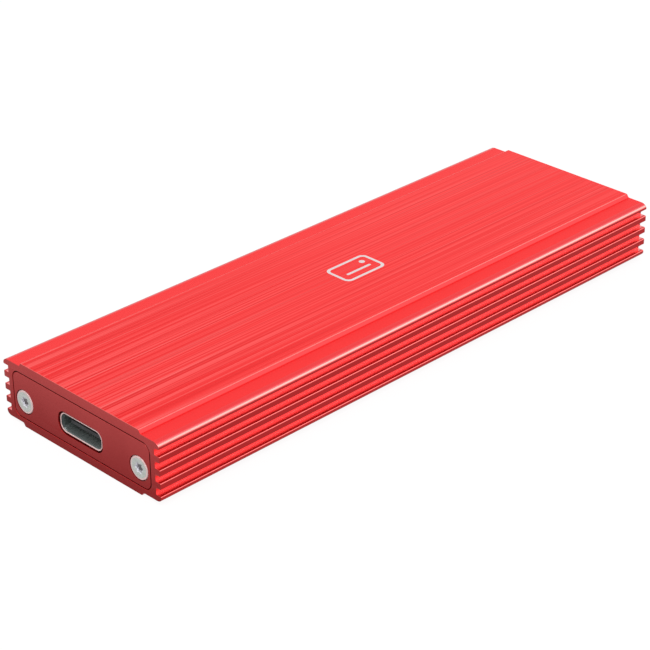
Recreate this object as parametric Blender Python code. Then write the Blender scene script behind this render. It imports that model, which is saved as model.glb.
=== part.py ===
"""External solid-state drive: a ribbed aluminium housing round a drawer with an M.2 module.

Metres, +Z up. The housing lies along Y: the USB-C port is at its -Y end, the plain plate at +Y.
The origin is the centre of the underside. The drawer (front plate, bridge board and module) slides
out along -Y, the rear plate along +Y, and each screw backs out along its own axis.
"""

from math import asin, cos, degrees, pi, radians, sin

import bmesh
import bpy
from mathutils.geometry import tessellate_polygon

MM = 0.001

# Housing: the extrusion and its outline across the length
LENGTH = 107.0 * MM
WIDTH = 34.5 * MM
HEIGHT = 10.6 * MM
BAND_HALF_WIDTH = 13.2 * MM  # raised band on the top and the underside
BAND_RISE = 0.54 * MM
BAND_SLOPE = 0.12 * MM
STRIP_FALL = 0.02 * MM  # the strips beside the band fall this much towards the edges
EDGE_WIDTH = 1.15 * MM  # the rounded upper and lower edges, across and down
EDGE_DROP = 0.76 * MM
RIB_PITCH = 2.13 * MM
RIB_COUNT = 5
RIB_THICKNESS = 1.02 * MM
RIB_CORNER = 0.15 * MM
GROOVE_DEPTH = 1.05 * MM
GROOVE_FILLET = 0.25 * MM

# Housing: its inside
CAVITY_HALF_WIDTH = 15.3 * MM
CAVITY_FLOOR = 1.35 * MM
CAVITY_ROOF = 8.97 * MM
CAVITY_CORNER = 1.45 * MM
RAIL_INNER = 11.2 * MM  # the screw rails reach from the side walls to here
RAIL_TOP = 5.7 * MM
RAIL_EMBED = 0.4 * MM  # how far a rail runs into the wall it is part of
PORT_RADIUS = 1.15 * MM  # screw port, open towards the roof
PORT_SLOT = 0.8 * MM
BOARD_SLOT_DEPTH = 0.75 * MM
BOARD_SLOT_CLEARANCE = 0.15 * MM

# End plates and their screws
PLATE_THICKNESS = 1.5 * MM
PLATE_SEAM = 0.17 * MM
PLATE_CHAMFER = 0.05 * MM
PLATE_BACKING = 0.2 * MM  # from the back of a plate to the end of the rails
SCREW_X = 12.75 * MM
SCREW_Z = 4.3 * MM
SCREW_HEAD_RADIUS = 1.87 * MM
SCREW_HEAD_DEPTH = 1.05 * MM
SCREW_RADIUS = 0.95 * MM
SCREW_LENGTH = 6.0 * MM
SCREW_SINK = 0.11 * MM  # ring of shadow between a head and its countersink
RECESS_RADIUS = 0.78 * MM  # six-lobe recess
RECESS_LOBE = 0.12 * MM
RECESS_DEPTH = 0.8 * MM

# USB-C receptacle
USB_Z = 4.63 * MM
USB_OUTSIDE = (9.35 * MM, 3.25 * MM)
USB_CORNER = 1.3 * MM
USB_RIM = 0.2 * MM  # the flat edge round the flared mouth
USB_OPENING = (8.34 * MM, 2.56 * MM)
USB_OPENING_CORNER = 1.0 * MM
USB_FLARE_DEPTH = 0.35 * MM
USB_LENGTH = 7.35 * MM
USB_RECESS = 0.15 * MM  # how far its mouth lies behind the plate's face
USB_BACK_WALL = 0.3 * MM
USB_CUTOUT = (9.95 * MM, 3.73 * MM)
USB_CUTOUT_CORNER = 1.55 * MM
TONGUE = (6.69 * MM, 0.7 * MM)
TONGUE_LENGTH = 4.45 * MM
INSULATOR_DEPTH = 1.7 * MM

# Bridge board
BOARD_HALF_WIDTH = 11.75 * MM
BOARD_BOTTOM = 1.95 * MM
BOARD_THICKNESS = 0.8 * MM
BOARD_FRONT_CLEARANCE = 0.3 * MM
BOARD_END = 49.4 * MM
SOLDER_GAP = 0.1 * MM  # under every piece that is soldered to a board

# M.2 module and what holds it
MODULE_WIDTH = 22.0 * MM
MODULE_LENGTH = 80.0 * MM
MODULE_THICKNESS = 0.8 * MM
MODULE_RISE = 2.4 * MM  # from the top of the bridge board to the module
MODULE_END = 46.2 * MM  # also the centre of the retaining screw
KEY_NOTCH_X = 6.625 * MM
KEY_NOTCH = (1.2 * MM, 3.5 * MM)
SCREW_NOTCH_RADIUS = 1.75 * MM
SOCKET_DEPTH = 8.0 * MM
SOCKET_HEIGHT = 4.1 * MM
SOCKET_GRIP = 3.5 * MM  # how far the module goes in
SLOT_CLEARANCE = 0.2 * MM
STANDOFF_RADIUS = 2.3 * MM
STANDOFF_FLANGE = (2.75 * MM, 0.5 * MM)
PAN_HEAD = (1.9 * MM, 0.7 * MM)
PAN_SHANK = 2.8 * MM
PAD_HALF_WIDTH = 10.2 * MM
PAD_ENDS = (-28.5 * MM, 42.6 * MM)
PAD_GAP = 0.3 * MM

CIRCLE_STEPS = 24
FRONT = -LENGTH / 2
REAR = LENGTH / 2
MIDDLE = HEIGHT / 2
BOARD_TOP = BOARD_BOTTOM + BOARD_THICKNESS
MODULE_BOTTOM = BOARD_TOP + MODULE_RISE
MODULE_TOP = MODULE_BOTTOM + MODULE_THICKNESS
MODULE_FRONT = MODULE_END - MODULE_LENGTH
SOCKET_MOUTH = MODULE_FRONT + SOCKET_GRIP
CHIP_ROOF = MODULE_TOP + SOLDER_GAP + 1.25 * MM  # top of the tallest package on the module

RED = (0.76, 0.012, 0.014)
STEEL = (0.55, 0.56, 0.56)


def clear_scene():
    for old in list(bpy.data.objects):
        bpy.data.objects.remove(old)


def material(name, colour, roughness, metallic):
    made = bpy.data.materials.get(name) or bpy.data.materials.new(name)
    made.use_nodes = True
    shader = made.node_tree.nodes["Principled BSDF"]
    shader.inputs["Base Color"].default_value = (*colour, 1.0)
    shader.inputs["Roughness"].default_value = roughness
    shader.inputs["Metallic"].default_value = metallic
    return made


def anodised():
    return material("red_anodised", RED, 0.32, 1.0)


def screw_steel():
    return material("screw_steel", STEEL, 0.3, 1.0)


def port_steel():
    return material("port_steel", (0.62, 0.58, 0.58), 0.28, 1.0)


def black_plastic():
    return material("black_plastic", (0.02, 0.02, 0.022), 0.45, 0.0)


def circuit_board():
    return material("circuit_board", (0.01, 0.045, 0.025), 0.4, 0.0)


def chip_resin():
    return material("chip_resin", (0.018, 0.018, 0.02), 0.55, 0.0)


def can_metal():
    return material("can_metal", (0.7, 0.68, 0.62), 0.3, 1.0)


def ferrite():
    return material("ferrite", (0.09, 0.09, 0.095), 0.6, 0.0)


def ceramic():
    return material("ceramic", (0.42, 0.3, 0.2), 0.5, 0.0)


def brass():
    return material("brass", (0.75, 0.56, 0.25), 0.3, 1.0)


def silicone():
    return material("silicone", (0.45, 0.5, 0.56), 0.7, 0.0)


# Outlines: lists of (across, up) points, each a closed loop with no repeated end point


def arc(centre, radius, start, end, steps):
    """Points along an arc, from start to end in degrees, both ends included."""
    angles = [radians(start + (end - start) * i / steps) for i in range(steps + 1)]
    return [(centre[0] + radius * cos(a), centre[1] + radius * sin(a)) for a in angles]


def quarter_ellipse(start, across, down, steps):
    """A rounded edge, from level at start to upright, both ends included."""
    angles = [pi / 2 * i / steps for i in range(steps + 1)]
    return [(start[0] + across * sin(a), start[1] - down * (1 - cos(a))) for a in angles]


def circle(radius, centre=(0.0, 0.0), steps=CIRCLE_STEPS):
    return arc(centre, radius, 0, 360, steps)[:-1]


def rectangle(width, height, centre=(0.0, 0.0), radius=0.0, steps=4):
    """A rectangle about its centre, with rounded corners where radius isn't 0."""
    x, z = width / 2 - radius, height / 2 - radius
    corners = ((x, z, 0), (-x, z, 90), (-x, -z, 180), (x, -z, 270))
    if not radius:
        return [(centre[0] + cx, centre[1] + cz) for cx, cz, _ in corners]
    points = []
    for cx, cz, start in corners:
        points += arc((centre[0] + cx, centre[1] + cz), radius, start, start + 90, steps)
    return points


def six_lobes(radius, lobe, steps=CIRCLE_STEPS):
    points = []
    for i in range(steps):
        angle = 2 * pi * i / steps
        r = radius + lobe * cos(6 * angle)
        points.append((r * cos(angle), r * sin(angle)))
    return points


def moved(loop, across, up):
    return [(x + across, z + up) for x, z in loop]


def groove(height):
    """One groove in the +X side, from its upper lip to its lower lip."""
    outer, root = WIDTH / 2, WIDTH / 2 - GROOVE_DEPTH
    half = (RIB_PITCH - RIB_THICKNESS) / 2
    lip, foot = half + RIB_CORNER, half - GROOVE_FILLET
    return [
        *arc((outer - RIB_CORNER, height + lip), RIB_CORNER, 0, -90, 3),
        *arc((root + GROOVE_FILLET, height + foot), GROOVE_FILLET, 90, 180, 4),
        *arc((root + GROOVE_FILLET, height - foot), GROOVE_FILLET, 180, 270, 4),
        *arc((outer - RIB_CORNER, height - lip), RIB_CORNER, 90, 0, 3),
    ]


def upper_edge():
    """The +X part of the top, from the raised band down to the tip of the first rib."""
    strip = HEIGHT - BAND_RISE
    start = (WIDTH / 2 - EDGE_WIDTH, strip - STRIP_FALL)
    return [
        (BAND_HALF_WIDTH - BAND_SLOPE / 2, HEIGHT),
        (BAND_HALF_WIDTH + BAND_SLOPE / 2, strip),
        *quarter_ellipse(start, EDGE_WIDTH, EDGE_DROP, 6),
    ]


def housing_outline():
    top = upper_edge()
    side = list(top)
    for i in range(RIB_COUNT - 1):
        side += groove(MIDDLE + ((RIB_COUNT - 2) / 2 - i) * RIB_PITCH)
    side += [(x, HEIGHT - z) for x, z in reversed(top)]
    return side + [(-x, z) for x, z in reversed(side)]


def cavity_outline(inset=0.0):
    """The plain inside of the housing, or the outline of a plate that fits it."""
    centre = (0.0, (CAVITY_FLOOR + CAVITY_ROOF) / 2)
    width = 2 * (CAVITY_HALF_WIDTH - inset)
    height = CAVITY_ROOF - CAVITY_FLOOR - 2 * inset
    return rectangle(width, height, centre, CAVITY_CORNER - inset, 6)


def rail_outline(side):
    """A screw rail at the +X (side 1) or -X (side -1) wall: a screw port above a board slot."""
    outer = CAVITY_HALF_WIDTH + RAIL_EMBED
    bottom = CAVITY_FLOOR - RAIL_EMBED
    lean = degrees(asin(PORT_SLOT / 2 / PORT_RADIUS))
    slot_bottom = BOARD_BOTTOM - BOARD_SLOT_CLEARANCE
    slot_top = BOARD_TOP + BOARD_SLOT_CLEARANCE
    points = [
        (RAIL_INNER, bottom),
        (outer, bottom),
        (outer, RAIL_TOP),
        (SCREW_X + PORT_SLOT / 2, RAIL_TOP),
        *arc((SCREW_X, SCREW_Z), PORT_RADIUS, 90 - lean, lean - 270, 16),
        (SCREW_X - PORT_SLOT / 2, RAIL_TOP),
        (RAIL_INNER, RAIL_TOP),
        (RAIL_INNER, slot_top),
        (RAIL_INNER + BOARD_SLOT_DEPTH, slot_top),
        (RAIL_INNER + BOARD_SLOT_DEPTH, slot_bottom),
        (RAIL_INNER, slot_bottom),
    ]
    return [(side * x, z) for x, z in points]


# Solids: every wall is a list of (level, loop) stations along one axis

AXES = {
    "Y": lambda point, level: (point[0], level, point[1]),
    "Z": lambda point, level: (point[0], point[1], level),
}


def add_wall(mesh, wall, place):
    rings = [[mesh.verts.new(place(point, level)) for point in loop] for level, loop in wall]
    for near, far in zip(rings, rings[1:]):
        for i in range(len(near)):
            mesh.faces.new((near[i - 1], near[i], far[i], far[i - 1]))
    return rings


def add_cap(mesh, rings):
    """Fills the first ring, less the rings inside it."""
    corners = [vert for ring in rings for vert in ring]
    for triangle in tessellate_polygon([[vert.co for vert in ring] for ring in rings]):
        mesh.faces.new([corners[i] for i in triangle])


def solid(name, finish, outer, through=(), pockets=(), axis="Y", smooth=False):
    """One closed body: an outer wall, holes right through it, and pockets in its first face."""
    place = AXES[axis]
    mesh = bmesh.new()
    walls = [add_wall(mesh, wall, place) for wall in (outer, *through)]
    sunk = [add_wall(mesh, wall, place) for wall in pockets]
    add_cap(mesh, [rings[0] for rings in walls + sunk])
    add_cap(mesh, [rings[-1] for rings in walls])
    for rings in sunk:
        add_cap(mesh, [rings[-1]])
    bmesh.ops.recalc_face_normals(mesh, faces=mesh.faces)
    data = bpy.data.meshes.new(name)
    mesh.to_mesh(data)
    mesh.free()
    if smooth:
        data.shade_smooth()
        data.set_sharp_from_angle(angle=radians(35))
    data.materials.append(finish)
    made = bpy.data.objects.new(name, data)
    bpy.context.scene.collection.objects.link(made)
    return made


def straight(loop, low, high):
    return [(low, loop), (high, loop)]


def package(name, finish, size, centre, bottom, body):
    """A box-shaped component with a slightly narrower top, standing a solder's height up."""
    width, depth, height = size
    low = bottom + SOLDER_GAP
    shoulder = 0.15 * min(size)
    top = rectangle(width - shoulder, depth - shoulder, centre)
    base = rectangle(width, depth, centre)
    made = solid(
        name, finish, [(low, base), (low + height - shoulder / 2, base), (low + height, top)], axis="Z"
    )
    made.parent = body
    return made


def body_frame(name, place):
    """An empty on a moving body's axis, which its pieces are parented to."""
    frame = bpy.data.objects.new(name, None)
    frame.empty_display_size = 5 * MM
    frame.location = place
    bpy.context.scene.collection.objects.link(frame)
    return frame


def held_by(frame, *pieces):
    """Parents pieces to an empty without moving them."""
    bpy.context.view_layer.update()
    for piece in pieces:
        piece.parent = frame
        piece.matrix_parent_inverse = frame.matrix_world.inverted()


# The housing


def make_rail(side):
    loop = rail_outline(side)
    inset = PLATE_THICKNESS + PLATE_BACKING
    rail = solid(f"rail_guide_{side}", anodised(), straight(loop, FRONT + inset, REAR - inset))
    rail.hide_render = True
    rail.display_type = "WIRE"
    return rail


def make_housing():
    housing = solid(
        "housing",
        anodised(),
        straight(housing_outline(), FRONT, REAR),
        through=[straight(cavity_outline(), FRONT, REAR)],
    )
    for side in (1, -1):
        join = housing.modifiers.new(f"rail_{side}", "BOOLEAN")
        join.operation = "UNION"
        join.object = make_rail(side)
    return housing


# End plates and screws


def make_end_plate(name, face, into, cutouts=()):
    """A plate whose outer face is at y = face; into is +1 or -1, the way to its back."""

    def at(depth):
        return face + into * depth

    outline = cavity_outline(PLATE_SEAM)
    chamfered = cavity_outline(PLATE_SEAM + PLATE_CHAMFER)
    sink = SCREW_HEAD_RADIUS + SCREW_SINK
    clear = SCREW_RADIUS + 0.25 * MM
    holes = []
    for side in (1, -1):
        centre = (side * SCREW_X, SCREW_Z)
        holes.append([
            (at(0), circle(sink, centre)),
            (at(SCREW_HEAD_DEPTH), circle(clear, centre)),
            (at(PLATE_THICKNESS), circle(clear, centre)),
        ])
    holes += [straight(loop, at(0), at(PLATE_THICKNESS)) for loop in cutouts]
    wall = [(at(0), chamfered), (at(PLATE_CHAMFER), outline), (at(PLATE_THICKNESS), outline)]
    return solid(name, anodised(), wall, through=holes)


def usb_cutout():
    return rectangle(*USB_CUTOUT, (0.0, USB_Z), USB_CUTOUT_CORNER, 6)


def make_plate_screw(name, side, face, into):
    """A countersunk screw with a six-lobe recess, head flush with y = face."""
    edge = 0.08 * MM
    stations = (
        (0.0, SCREW_HEAD_RADIUS - edge),
        (edge, SCREW_HEAD_RADIUS),
        (SCREW_HEAD_DEPTH, SCREW_RADIUS),
        (SCREW_LENGTH - 4 * edge, SCREW_RADIUS),
        (SCREW_LENGTH, SCREW_RADIUS - 4 * edge),
    )
    centre = (side * SCREW_X, SCREW_Z)
    wall = [(face + into * depth, circle(radius, centre)) for depth, radius in stations]
    lobes = moved(six_lobes(RECESS_RADIUS, RECESS_LOBE), *centre)
    tapered = moved(six_lobes(0.86 * RECESS_RADIUS, RECESS_LOBE), *centre)
    recess = [(face, lobes), (face + into * RECESS_DEPTH, tapered)]
    return solid(name, screw_steel(), wall, pockets=[recess], smooth=True)


# The receptacle


def make_usb_shell():
    mouth = FRONT + USB_RECESS
    back = mouth + USB_LENGTH
    centre = (0.0, USB_Z)
    width, height = USB_OUTSIDE
    outside = rectangle(width, height, centre, USB_CORNER, 6)
    flared = rectangle(width - 2 * USB_RIM, height - 2 * USB_RIM, centre, USB_CORNER - USB_RIM, 6)
    inside = rectangle(*USB_OPENING, centre, USB_OPENING_CORNER, 6)
    pocket = [(mouth, flared), *straight(inside, mouth + USB_FLARE_DEPTH, back - USB_BACK_WALL)]
    return solid(
        "usb_c_shell", port_steel(), straight(outside, mouth, back), pockets=[pocket], smooth=True
    )


def make_usb_insulator():
    """The moulded block at the back of the shell, with the tongue in front of it."""
    gap = 0.1 * MM
    width, height = USB_OPENING
    back = FRONT + USB_RECESS + USB_LENGTH - USB_BACK_WALL - gap
    root = back - INSULATOR_DEPTH
    centre = (0.0, USB_Z)
    tongue = rectangle(*TONGUE, centre, 0.12 * MM)
    tip = rectangle(TONGUE[0] - 0.3 * MM, TONGUE[1] - 0.3 * MM, centre, 0.12 * MM)
    block = rectangle(width - 2 * gap, height - 2 * gap, centre, USB_OPENING_CORNER - gap)
    wall = [
        (root - TONGUE_LENGTH, tip),
        (root - TONGUE_LENGTH + 0.3 * MM, tongue),
        (root, tongue),
        (root, block),
        (back, block),
    ]
    return solid("usb_c_insulator", black_plastic(), wall)


# The bridge board and what is soldered to it


def make_bridge_board():
    front = FRONT + PLATE_THICKNESS + BOARD_FRONT_CLEARANCE
    length = BOARD_END - front
    loop = rectangle(2 * BOARD_HALF_WIDTH, length, (0.0, front + length / 2), 0.6 * MM)
    return solid("bridge_board", circuit_board(), straight(loop, BOARD_BOTTOM, BOARD_TOP), axis="Z")


BRIDGE_PARTS = (
    # name, finish, (width, depth, height), (x, y)
    ("bridge_chip", chip_resin, (6.5, 6.5, 0.85), (-5.6, -42.1)),
    ("flash_chip", chip_resin, (5.0, 4.0, 0.8), (4.6, -41.0)),
    ("crystal", can_metal, (3.2, 2.5, 0.7), (0.4, -43.9)),
    ("power_inductor", ferrite, (4.0, 4.0, 1.6), (6.2, -25.4)),
    ("voltage_regulator", chip_resin, (3.0, 3.0, 0.75), (0.6, -25.4)),
    ("capacitor_1", ceramic, (3.2, 1.6, 1.2), (8.6, -44.2)),
    ("capacitor_2", ceramic, (3.2, 1.6, 1.2), (8.9, -40.4)),
    ("capacitor_3", ceramic, (1.6, 3.2, 1.2), (-3.2, -25.4)),
    ("capacitor_4", ceramic, (1.6, 3.2, 1.2), (-6.0, -25.4)),
)

MODULE_PARTS = (
    ("module_power_chip", chip_resin, (4.0, 4.0, 0.8), (7.4, -26.2)),
    ("module_controller", chip_resin, (12.0, 12.0, 1.1), (-3.4, -20.6)),
    ("module_dram", chip_resin, (7.5, 11.0, 1.0), (6.9, -16.4)),
    ("module_nand_1", chip_resin, (18.0, 14.0, 1.25), (0.0, 3.2)),
    ("module_nand_2", chip_resin, (18.0, 14.0, 1.25), (0.0, 24.6)),
)


def make_packages(table, bottom, body):
    for name, finish, size, centre in table:
        scaled = [side * MM for side in size]
        package(name, finish(), scaled, [place * MM for place in centre], bottom, body)


def make_socket():
    """The M.2 socket: its slot is open towards +Y and lines up with the module's edge."""
    low = BOARD_TOP + SOLDER_GAP
    centre = (0.0, low + SOCKET_HEIGHT / 2)
    slot_width = MODULE_WIDTH - 2.0 * MM
    slot = rectangle(
        slot_width, MODULE_THICKNESS + 2 * SLOT_CLEARANCE, (0.0, (MODULE_BOTTOM + MODULE_TOP) / 2)
    )
    outside = rectangle(MODULE_WIDTH, SOCKET_HEIGHT, centre, 0.25 * MM, 3)
    floor = MODULE_FRONT - SLOT_CLEARANCE
    return solid(
        "m2_socket",
        black_plastic(),
        straight(outside, SOCKET_MOUTH, SOCKET_MOUTH - SOCKET_DEPTH),
        pockets=[straight(slot, SOCKET_MOUTH, floor)],
    )


def make_standoff():
    low, high = BOARD_TOP + SOLDER_GAP, MODULE_BOTTOM - SOLDER_GAP
    centre = (0.0, MODULE_END)
    flange_radius, flange_height = STANDOFF_FLANGE
    wall = [
        (high, circle(STANDOFF_RADIUS, centre)),
        (low + flange_height, circle(STANDOFF_RADIUS, centre)),
        (low + flange_height, circle(flange_radius, centre)),
        (low, circle(flange_radius, centre)),
    ]
    thread = straight(circle(SCREW_RADIUS + 0.25 * MM, centre), high, low)
    return solid("m2_standoff", brass(), wall, through=[thread], axis="Z", smooth=True)


def make_retaining_screw():
    """A pan-head screw, head on top of the module, shank down through its notch."""
    head_radius, head_height = PAN_HEAD
    under = MODULE_TOP + SOLDER_GAP
    centre = (0.0, MODULE_END)
    stations = (
        (under + head_height, head_radius - 0.25 * MM),
        (under + head_height - 0.2 * MM, head_radius),
        (under, head_radius),
        (under, SCREW_RADIUS),
        (under - PAN_SHANK + 0.2 * MM, SCREW_RADIUS),
        (under - PAN_SHANK, SCREW_RADIUS - 0.2 * MM),
    )
    wall = [(level, circle(radius, centre)) for level, radius in stations]
    cross = moved(six_lobes(0.7 * RECESS_RADIUS, RECESS_LOBE), *centre)
    recess = straight(cross, under + head_height, under + 0.2 * MM)
    return solid("m2_retaining_screw", screw_steel(), wall, pockets=[recess], axis="Z", smooth=True)


# The module


def module_outline():
    """The card seen from above: gold edge and key notch at -Y, half-round screw notch at +Y."""
    half = MODULE_WIDTH / 2
    tab = half - 1.1 * MM  # the edge that goes into the socket is narrower than the card
    shoulder = MODULE_FRONT + SOCKET_GRIP + 0.5 * MM
    key_left, key_right = KEY_NOTCH_X - KEY_NOTCH[0] / 2, KEY_NOTCH_X + KEY_NOTCH[0] / 2
    key_end = MODULE_FRONT + KEY_NOTCH[1]
    return [
        (-tab, MODULE_FRONT),
        (key_left, MODULE_FRONT),
        (key_left, key_end),
        (key_right, key_end),
        (key_right, MODULE_FRONT),
        (tab, MODULE_FRONT),
        (tab, shoulder),
        (half, shoulder),
        (half, MODULE_END),
        *arc((0.0, MODULE_END), SCREW_NOTCH_RADIUS, 0, -180, 12),
        (-half, MODULE_END),
        (-half, shoulder),
        (-tab, shoulder),
    ]


def make_module_board():
    wall = straight(module_outline(), MODULE_BOTTOM, MODULE_TOP)
    return solid("module_board", circuit_board(), wall, axis="Z")


def make_thermal_pad():
    front, end = PAD_ENDS
    loop = rectangle(2 * PAD_HALF_WIDTH, end - front, (0.0, (front + end) / 2), 0.8 * MM)
    wall = straight(loop, CHIP_ROOF + 0.1 * MM, CAVITY_ROOF - PAD_GAP)
    return solid("thermal_pad", silicone(), wall, axis="Z")


def make_drawer():
    drawer = body_frame("drawer_frame", (0.0, FRONT, MIDDLE))
    held_by(
        drawer,
        make_end_plate("front_end_plate", FRONT, 1, [usb_cutout()]),
        make_usb_shell(),
        make_usb_insulator(),
        make_bridge_board(),
        make_socket(),
        make_standoff(),
        make_module_board(),
        make_thermal_pad(),
    )
    carrier = body_frame("component_frame", (0.0, 0.0, 0.0))
    held_by(drawer, carrier)
    make_packages(BRIDGE_PARTS, BOARD_TOP, carrier)
    make_packages(MODULE_PARTS, MODULE_TOP, carrier)
    lift = body_frame("retaining_screw_frame", (0.0, MODULE_END, MODULE_TOP))
    held_by(lift, make_retaining_screw())
    held_by(drawer, lift)
    return drawer


def make_rear_cover():
    cover = body_frame("rear_cover_frame", (0.0, REAR, MIDDLE))
    held_by(cover, make_end_plate("rear_end_plate", REAR, -1))
    return cover


def make_screws(place, face, into, carrier):
    """The two screws of an end plate; each hangs on an empty on its own axis."""
    for side, word in ((-1, "left"), (1, "right")):
        axis = body_frame(f"{place}_screw_{word}_axis", (side * SCREW_X, face, SCREW_Z))
        held_by(axis, make_plate_screw(f"{place}_screw_{word}", side, face, into))
        held_by(carrier, axis)


def main():
    clear_scene()
    make_housing()
    make_screws("front", FRONT, 1, make_drawer())
    make_screws("rear", REAR, -1, make_rear_cover())


main()
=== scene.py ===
"""The looks of the external solid-state drive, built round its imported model.

Metres. The housing lies along Y with its USB-C port at -Y, +Z is up, and z = 0 is the underside.
Every CAD node is replaced by a finer piece at the same place, which rides on the same body.
"""

import random
from math import asin, ceil, cos, degrees, hypot, pi, radians, sin

import bmesh
import bpy
from mathutils import Matrix, Vector
from mathutils.geometry import tessellate_polygon


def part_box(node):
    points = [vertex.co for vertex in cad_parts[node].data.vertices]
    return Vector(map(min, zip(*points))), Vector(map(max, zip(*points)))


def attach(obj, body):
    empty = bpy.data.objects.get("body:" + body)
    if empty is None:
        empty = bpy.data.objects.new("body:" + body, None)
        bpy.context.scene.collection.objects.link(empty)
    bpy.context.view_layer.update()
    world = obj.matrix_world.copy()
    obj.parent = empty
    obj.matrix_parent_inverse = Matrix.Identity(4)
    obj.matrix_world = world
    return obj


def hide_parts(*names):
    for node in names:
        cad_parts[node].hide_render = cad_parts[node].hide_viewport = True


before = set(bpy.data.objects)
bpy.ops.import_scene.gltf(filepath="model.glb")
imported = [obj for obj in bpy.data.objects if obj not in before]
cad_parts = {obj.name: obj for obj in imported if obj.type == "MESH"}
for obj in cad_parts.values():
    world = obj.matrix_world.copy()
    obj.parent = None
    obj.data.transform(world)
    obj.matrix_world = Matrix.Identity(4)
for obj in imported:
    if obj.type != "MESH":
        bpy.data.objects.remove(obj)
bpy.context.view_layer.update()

MM = 0.001

# The extrusion's outline, which keeps within 0.2 mm of the CAD model's
HOUSING_LOW, HOUSING_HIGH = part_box("housing")
WIDTH = HOUSING_HIGH.x - HOUSING_LOW.x
HEIGHT = HOUSING_HIGH.z - HOUSING_LOW.z
FRONT, REAR = HOUSING_LOW.y, HOUSING_HIGH.y
BAND_HALF_WIDTH = 13.2 * MM
BAND_RISE = 0.54 * MM
EDGE_WIDTH = 1.15 * MM
EDGE_DROP = 0.78 * MM
LOWER_EDGE_WIDTH = 0.92 * MM
LOWER_EDGE_DROP = 0.68 * MM
RIB_PITCH = 2.13 * MM
RIB_COUNT = 5
RIB_THICKNESS = 1.02 * MM
RIB_CORNER = 0.15 * MM
GROOVE_DEPTH = 1.05 * MM
GROOVE_FILLET = 0.03 * MM
CAVITY_HALF_WIDTH = 15.3 * MM
CAVITY_FLOOR = 1.35 * MM
CAVITY_ROOF = 8.97 * MM
CAVITY_CORNER = 1.45 * MM
RAIL_INNER = 11.2 * MM
RAIL_TOP = 5.7 * MM
RAIL_EMBED = 0.4 * MM
RAIL_INSET = 1.7 * MM
PORT_RADIUS = 1.15 * MM
PORT_SLOT = 0.8 * MM
BOARD_SLOT_DEPTH = 0.75 * MM
BOARD_SLOT_CLEARANCE = 0.15 * MM
CUT_EDGE = 0.04 * MM  # rounding of the extrusion's cut ends

# Plates, screws and port
PLATE_EDGE = 0.03 * MM
SCREW_X = 12.75 * MM
SCREW_Z = 4.3 * MM
SCREW_RADIUS = 0.95 * MM
SCREW_HEAD_DEPTH = 1.05 * MM
SCREW_SINK = 0.11 * MM
THREAD_PITCH = 0.4 * MM
THREAD_DEPTH = 0.2 * MM
SCREW_CLEARANCE = 0.25 * MM  # of the bores round a thread
HEAD_RIM = 0.30 * MM
RECESS_DEPTH = 0.34 * MM  # to the edge of the drilled point
USB_CORNER = 1.3 * MM
USB_RIM = 0.2 * MM
USB_LIP = 0.06 * MM
USB_OPENING = (8.34 * MM, 2.56 * MM)
USB_OPENING_CORNER = 1.0 * MM
USB_FLARE_DEPTH = 0.35 * MM
USB_BACK_WALL = 0.3 * MM
USB_CUTOUT = (9.95 * MM, 3.73 * MM)
USB_CUTOUT_CORNER = 1.55 * MM
TONGUE = (6.69 * MM, 0.7 * MM)
CONTACT_PITCH = 0.5 * MM
PORT_CONTACTS = 12  # on each side of the tongue

# Boards
CARD_CONTACTS = 38  # on each side, with those at the key left out
CARD_KEY = (5.8 * MM, 7.45 * MM)
SOCKET_CONTACTS = 37
SOLDER_GAP = 0.09 * MM  # how far joints reach below a component's CAD box
SKIN = 0.012 * MM  # how far plated contacts and printed ink stand out
MODULE_CHIPS = (
    "module_power_chip", "module_controller", "module_dram", "module_nand_1", "module_nand_2"
)

# Camera at the photograph's viewing angle, about the origin
CAMERA_AZIMUTH = 45.44
CAMERA_ELEVATION = 28.3
CAMERA_ROLL = -0.45
CAMERA_DISTANCE = 333.31 * MM
CAMERA_RIGHT = -3.43 * MM
CAMERA_UP = 1.119 * MM
CAMERA_LENS_MM = 116.89

# Studio: radiance of the ground that reflections see, of the dome, and the light for the edges
GROUND_LEFT, GROUND_RIGHT = 0.44, 0.47
DOME = 0.98
GLINT_PLACE = (136.0, 30.0)
GLINT_SIZE = (0.36, 0.40)
GLINT_POWER = 0.5

# Reds of the brushed bands, deep to pale, at the front end and at the rear end: painted light,
# paler at the front end and deeper towards the rear
RED = (0.97, 0.034, 0.035)
FRONT_REDS = ((0.86, 0.006, 0.008), RED, (1.0, 0.105, 0.103))
REAR_REDS = ((0.93, 0.0, 0.001), (0.99, 0.006, 0.007), (1.0, 0.045, 0.044))
GLINT_RED = (1.0, 0.17, 0.165)
SCRATCH_RED = (0.76, 0.002, 0.004)

# Colour of the rounded edges from the strip (0) down to the ribs (1), by depth below the band: a
# pale band of painted highlight with a dark line of painted shade below it
HIGHLIGHT_START, HIGHLIGHT_END = 0.5 * MM, 1.4 * MM
EDGE_PAINTED_HIGHLIGHT = (
    (0.0, (0.90, 0.045, 0.047)),
    (0.2, (0.91, 0.065, 0.075)),
    (0.31, (0.93, 0.19, 0.20)),
    (0.41, (1.0, 0.38, 0.34)),
    (0.54, (1.0, 0.29, 0.27)),
    (0.69, (0.68, 0.08, 0.08)),
    (0.83, (0.86, 0.046, 0.050)),
    (1.0, (0.89, 0.046, 0.048)),
)

# Grain of the receptacle's sheet metal: outside, inside and at its mouth
DRAWN = (0.03 * MM, 0.6 * MM, 0.03 * MM)
ROLLED = (0.25 * MM, 2.0 * MM, 0.25 * MM)
FLARED = (0.25 * MM, 1.0 * MM, 0.25 * MM)


# Outlines: closed loops of (across, up) points


def arc(centre, radius, start, end, steps):
    """Points along an arc, from start to end in degrees, both ends included."""
    angles = [radians(start + (end - start) * i / steps) for i in range(steps + 1)]
    return [(centre[0] + radius * cos(a), centre[1] + radius * sin(a)) for a in angles]


def quarter_ellipse(start, across, down, steps):
    """A rounded edge, from level at start to upright, both ends included."""
    angles = [pi / 2 * i / steps for i in range(steps + 1)]
    return [(start[0] + across * sin(a), start[1] - down * (1 - cos(a))) for a in angles]


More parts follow.
